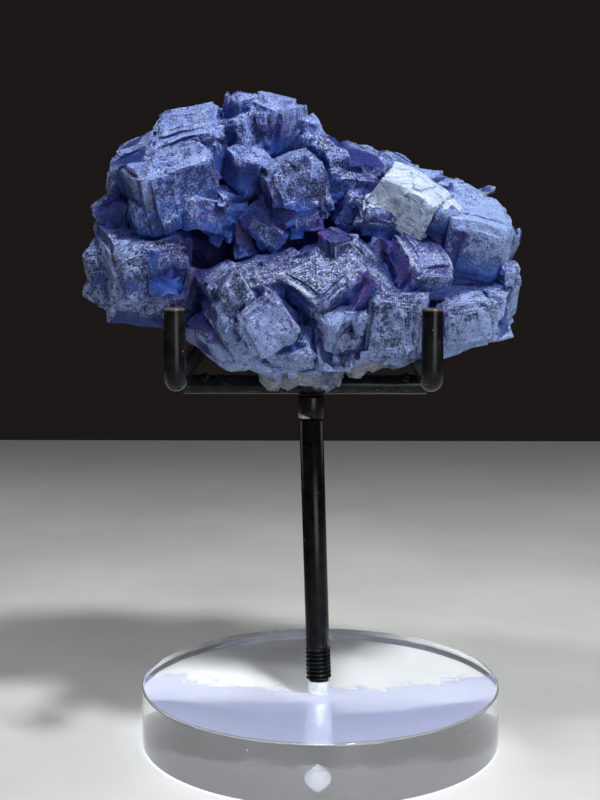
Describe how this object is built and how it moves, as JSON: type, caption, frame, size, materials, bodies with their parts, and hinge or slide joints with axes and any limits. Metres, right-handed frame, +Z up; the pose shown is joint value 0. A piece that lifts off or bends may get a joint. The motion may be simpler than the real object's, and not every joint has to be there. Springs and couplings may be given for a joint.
{
  "type": "raw fluorite",
  "caption": "Natural cluster of blue-violet fluorite cubes resting in a black forked cradle on a threaded stem, screwed into a clear disc base.",
  "frame": {"origin": "centre of the disc's flat underside", "axes": "+Z up along the stem, +X to the right as the stone is looked at, +Y away from the viewer"},
  "size_m": [0.0924, 0.076, 0.1366],
  "materials": {
    "crystal": "frosted, translucent blue and violet crystal",
    "black_metal": "black satin",
    "clear_acrylic": "polished and clear"
  },
  "bodies": {
    "root": {"fluorite": "crystal", "left_arm": "black_metal", "right_arm": "black_metal", "crossbar": "black_metal", "socket": "black_metal", "stem": "black_metal", "acrylic_base": "clear_acrylic"}
  },
  "joints": []
}
